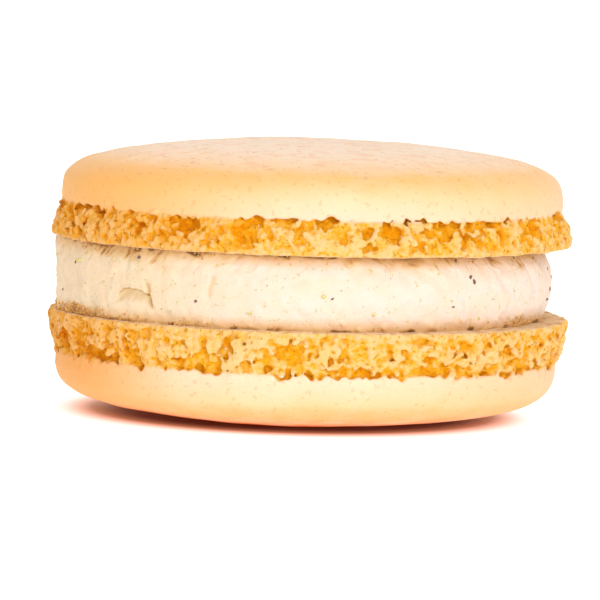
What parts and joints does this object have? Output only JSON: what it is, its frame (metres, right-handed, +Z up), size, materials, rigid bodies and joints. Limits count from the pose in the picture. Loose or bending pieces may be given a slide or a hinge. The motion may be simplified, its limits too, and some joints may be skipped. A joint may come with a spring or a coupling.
{
  "type": "french macaron",
  "caption": "Round sandwich biscuit: smooth domed almond meringue shells with craggy feet, around a thick layer of vanilla buttercream.",
  "frame": {"origin": "centre of the small flat spot on the lower shell's crown that the macaron rests on, under the middle of both shells", "axes": "+Z up, square to the layers; -Y is the front; +X to the right"},
  "size_m": [0.0452, 0.0452, 0.0242],
  "materials": {
    "almond_shell": "matte baked almond meringue, pale golden yellow skin over an open crumb foot",
    "vanilla_cream": "satin ivory buttercream with vanilla specks"
  },
  "bodies": {
    "root": {"shell_top": "almond_shell", "filling": "vanilla_cream", "shell_bottom": "almond_shell"}
  },
  "joints": []
}
